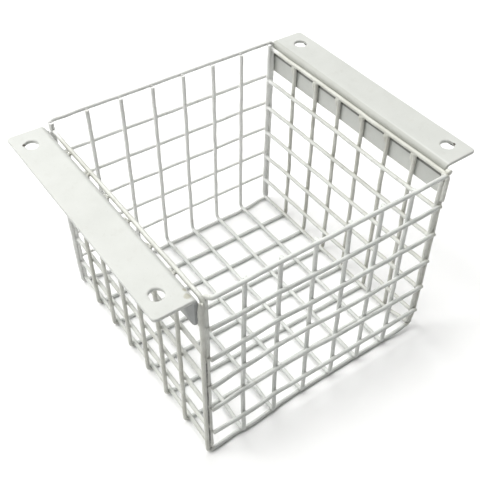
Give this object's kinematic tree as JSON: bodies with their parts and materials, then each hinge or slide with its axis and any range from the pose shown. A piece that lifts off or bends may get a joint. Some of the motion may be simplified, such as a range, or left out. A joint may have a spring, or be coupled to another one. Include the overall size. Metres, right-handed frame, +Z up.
{
  "type": "wire mesh container",
  "caption": "Open-topped rectangular basket of welded coated wire, hung by drilled mounting angles along its upper side edges.",
  "frame": {"origin": "middle of the basket's floor, at the level of the lowest wires, which it stands on", "axes": "+X to the right, across the basket from one mounting angle to the other; +Y to the back, along the mounting angles; +Z up, out of the open top"},
  "size_m": [0.2416, 0.1922, 0.158],
  "materials": {
    "wire_coating": "satin off-white powder coat on steel wire",
    "bracket_coating": "satin off-white powder coat on steel angle, slightly worn"
  },
  "bodies": {
    "root": {"cross_wire_1": "wire_coating", "cross_wire_2": "wire_coating", "cross_wire_3": "wire_coating", "cross_wire_4": "wire_coating", "cross_wire_5": "wire_coating", "cross_wire_6": "wire_coating", "cross_wire_7": "wire_coating", "cross_wire_8": "wire_coating", "long_wire_1": "wire_coating", "long_wire_2": "wire_coating", "long_wire_3": "wire_coating", "long_wire_4": "wire_coating", "long_wire_5": "wire_coating", "long_wire_6": "wire_coating", "long_wire_7": "wire_coating", "long_wire_8": "wire_coating", "front_rail_1": "wire_coating", "front_rail_2": "wire_coating", "front_rail_3": "wire_coating", "front_rail_4": "wire_coating", "front_rail_5": "wire_coating", "back_rail_1": "wire_coating", "back_rail_2": "wire_coating", "back_rail_3": "wire_coating", "back_rail_4": "wire_coating", "back_rail_5": "wire_coating", "left_rail_1": "wire_coating", "left_rail_2": "wire_coating", "left_rail_3": "wire_coating", "left_rail_4": "wire_coating", "left_rail_5": "wire_coating", "right_rail_1": "wire_coating", "right_rail_2": "wire_coating", "right_rail_3": "wire_coating", "right_rail_4": "wire_coating", "right_rail_5": "wire_coating", "front_rim": "wire_coating", "back_rim": "wire_coating", "left_rim": "wire_coating", "right_rim": "wire_coating", "left_bracket": "bracket_coating", "right_bracket": "bracket_coating"}
  },
  "joints": []
}
